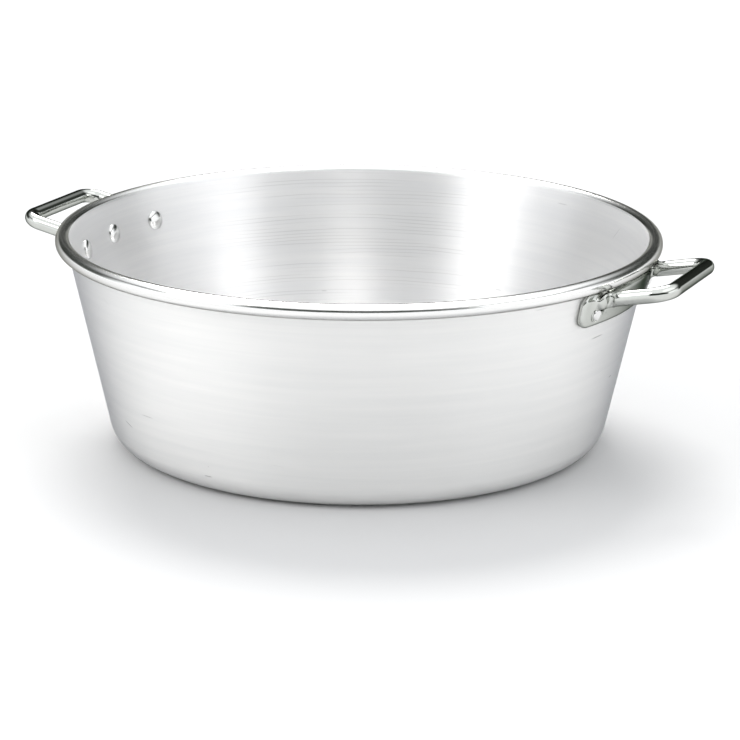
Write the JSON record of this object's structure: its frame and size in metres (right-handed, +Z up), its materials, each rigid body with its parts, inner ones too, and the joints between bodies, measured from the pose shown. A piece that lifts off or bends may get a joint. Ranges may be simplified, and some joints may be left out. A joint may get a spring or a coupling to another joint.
{
  "type": "two-handled shallow pan",
  "caption": "Wide, shallow, tapering round pan of spun aluminium with a rolled rim and riveted steel loop handles, for heating, cooling or holding a large batch of liquid.",
  "frame": {"origin": "under the middle of the pan's flat base, on the surface that it stands on", "axes": "+X through the middle of the right handle, +Y across the pan to the rear, +Z up along the pan's axis"},
  "size_m": [0.5286, 0.45, 0.159],
  "materials": {
    "spun_aluminium": "satin, fine spun rings outside, faint turned streaks inside, rim bead polished",
    "handle_steel": "mirror polished stainless steel",
    "rivet_metal": "polished"
  },
  "bodies": {
    "root": {"pan_body": "spun_aluminium", "right_handle_plate": "handle_steel", "right_handle_loop": "handle_steel", "right_rivet_front": "rivet_metal", "right_rivet_middle": "rivet_metal", "right_rivet_rear": "rivet_metal", "left_handle_plate": "handle_steel", "left_handle_loop": "handle_steel", "left_rivet_front": "rivet_metal", "left_rivet_middle": "rivet_metal", "left_rivet_rear": "rivet_metal"}
  },
  "joints": []
}
